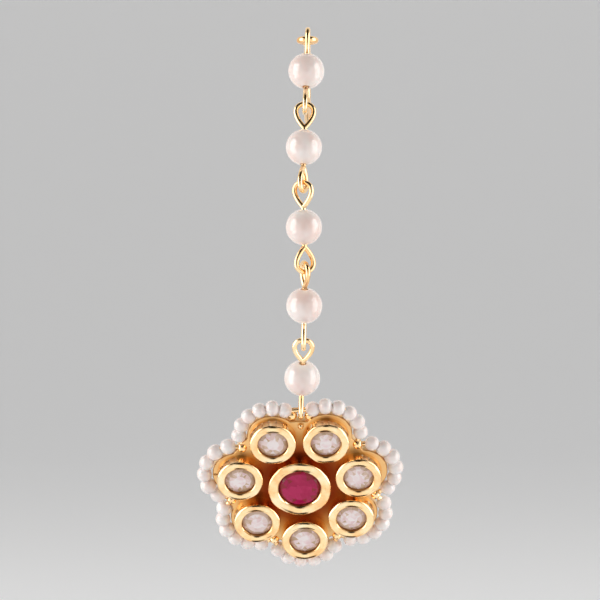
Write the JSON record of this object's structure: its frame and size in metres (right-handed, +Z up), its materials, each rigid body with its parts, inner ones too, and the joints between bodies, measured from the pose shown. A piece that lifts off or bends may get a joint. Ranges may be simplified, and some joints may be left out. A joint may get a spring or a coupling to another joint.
{
  "type": "maang tikka",
  "caption": "Flower pendant worn on the forehead, set with stones and edged with seed pearls, on a pearl chain with a hair hook.",
  "frame": {"origin": "inside the bend of the hair hook, where a lock of hair holds it", "axes": "+Z up the chain, +X to the right seen from the front, the front faces -Y"},
  "size_m": [0.031, 0.0326, 0.0813],
  "materials": {
    "gold_plate": "polished gold plate",
    "pearl": "lustrous pearl",
    "seed_pearl": "satin seed pearl",
    "kundan_glass": "foil-backed clear stone",
    "ruby_glass": "polished red stone"
  },
  "bodies": {
    "root": {"flower_setting": "gold_plate", "ruby": "ruby_glass", "kundan_1": "kundan_glass", "kundan_2": "kundan_glass", "kundan_3": "kundan_glass", "kundan_4": "kundan_glass", "kundan_5": "kundan_glass", "kundan_6": "kundan_glass", "kundan_7": "kundan_glass", "pearl_arc_1": "seed_pearl", "pearl_arc_2": "seed_pearl", "pearl_arc_3": "seed_pearl", "pearl_arc_4": "seed_pearl", "pearl_arc_5": "seed_pearl", "pearl_arc_6": "seed_pearl", "pearl_arc_7": "seed_pearl", "pearl_1": "pearl", "pearl_2": "pearl", "pearl_3": "pearl", "pearl_4": "pearl", "pearl_5": "pearl", "eye_pin_1": "gold_plate", "eye_pin_2": "gold_plate", "eye_pin_3": "gold_plate", "eye_pin_4": "gold_plate", "eye_pin_5": "gold_plate", "hair_hook": "gold_plate"}
  },
  "joints": []
}
